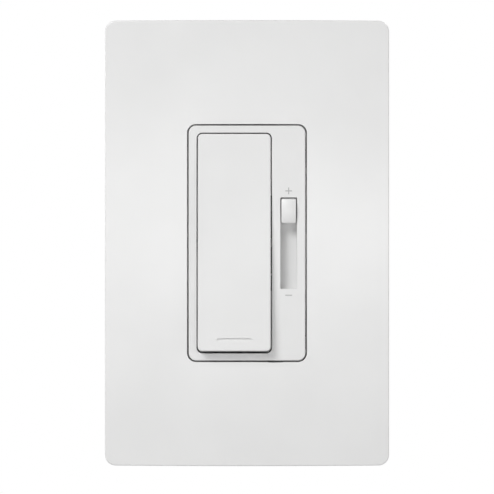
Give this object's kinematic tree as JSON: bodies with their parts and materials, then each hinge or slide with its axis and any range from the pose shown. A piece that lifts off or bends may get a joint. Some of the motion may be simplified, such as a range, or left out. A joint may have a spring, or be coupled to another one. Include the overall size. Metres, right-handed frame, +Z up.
{
  "type": "dimmer slide switch",
  "caption": "Wall dimmer with a screwless crowned plate, a wide paddle switch that rocks and a narrow slider beside it in a slot, with its strap and back housing.",
  "frame": {"origin": "centre of the wall plate, on the surface of the finished wall that the plate's rim rests on", "axes": "+Y into the wall, +Z up, +X to the right as seen from the room; the front faces -Y"},
  "size_m": [0.08, 0.0395, 0.1252],
  "materials": {
    "plate_plastic": "satin white",
    "carrier_plastic": "satin white",
    "bezel_plastic": "white, fine satin",
    "paddle_plastic": "white, fine satin",
    "knob_plastic": "white, glossy",
    "shutter_plastic": "white, matt",
    "mark_ink": "pale grey filled marks",
    "strap_metal": "stamped, satin",
    "zinc_steel": "zinc plated",
    "white_screw": "white heads",
    "retainer_plastic": "fibre board",
    "nylon": "natural nylon",
    "spring_steel": "wound wire",
    "copper": "bare copper alloy",
    "silver_contact": "silver alloy",
    "switch_phenolic": "black phenolic",
    "lever_plastic": "black nylon",
    "pot_steel": "tinned steel",
    "track_board": "phenolic with carbon track",
    "tinned_wire": "tinned",
    "trim_plastic": "orange nylon",
    "trim_case": "blue",
    "triac_epoxy": "moulded epoxy",
    "triac_tab_metal": "tinned copper",
    "insulator_pad": "silicone pad",
    "ferrite": "coated iron powder",
    "enamelled_copper": "enamelled winding",
    "film_cap": "yellow box",
    "dip_cap": "dipped epoxy",
    "resistor_body": "tan lacquer",
    "diac_body": "blue",
    "board_laminate": "green solder mask",
    "housing_plastic": "charcoal, fine texture",
    "terminal_brass": "stamped",
    "black_screw": "black oxide",
    "green_screw": "green"
  },
  "bodies": {
    "dimmer": {"wall_plate_cover": "plate_plastic", "wall_plate_frame": "carrier_plastic", "front_bezel": "bezel_plastic", "level_marks": "mark_ink", "mounting_strap": "strap_metal", "box_screws": "zinc_steel", "housing_screws": "zinc_steel", "triac_screw": "zinc_steel", "triac_nut": "zinc_steel", "wall_plate_screws": "white_screw", "screw_retainers": "retainer_plastic", "contact_strips": "copper", "fulcrum_bracket": "copper", "contact_tips": "silver_contact", "switch_base": "switch_phenolic", "pot_shell": "pot_steel", "pot_track": "track_board", "pot_pins": "tinned_wire", "component_leads": "tinned_wire", "triac_leads": "tinned_wire", "trim_body": "trim_case", "triac_body": "triac_epoxy", "triac_tab": "triac_tab_metal", "triac_insulator": "insulator_pad", "choke_core": "ferrite", "choke_winding": "enamelled_copper", "film_capacitor": "film_cap", "timing_capacitors": "dip_cap", "resistors": "resistor_body", "diac": "diac_body", "circuit_board": "board_laminate", "back_housing": "housing_plastic", "terminal_plates": "terminal_brass", "clamp_washers": "terminal_brass", "brass_terminal_screws": "terminal_brass", "black_terminal_screw": "black_screw", "ground_screw": "green_screw"},
    "paddle": {"rocker_paddle": "paddle_plastic", "detent_plunger": "nylon", "detent_spring": "spring_steel"},
    "contact_arm": {"contact_lever": "copper", "lever_contacts": "silver_contact"},
    "slider": {"slide_knob": "knob_plastic", "slide_shutter": "shutter_plastic", "slide_lever": "lever_plastic", "wiper_fingers": "copper"},
    "trimmer": {"trim_dial": "trim_plastic"}
  },
  "joints": [
    {"name": "paddle_rock", "type": "hinge", "parent": "dimmer", "child": "paddle", "pos_m": [-0.00357, -0.0036, 0], "axis": [1, 0, 0], "range_deg": [0, 5.4]},
    {"name": "contact_tilt", "type": "hinge", "parent": "dimmer", "child": "contact_arm", "pos_m": [-0.00357, 0.00615, 0], "axis": [1, 0, 0], "range_deg": [-10.8, 0]},
    {"name": "level_slide", "type": "slide", "parent": "dimmer", "child": "slider", "axis": [0, 0, 1], "range_m": [-0.018, 0]},
    {"name": "trim_turn", "type": "hinge", "parent": "dimmer", "child": "trimmer", "pos_m": [0.0181, 0, -0.0196], "axis": [0, 1, 0], "range_deg": [-135, 135]}
  ],
  "couplings": [
    {"joint": "contact_tilt", "follows": "paddle_rock", "ratio": -2}
  ]
}
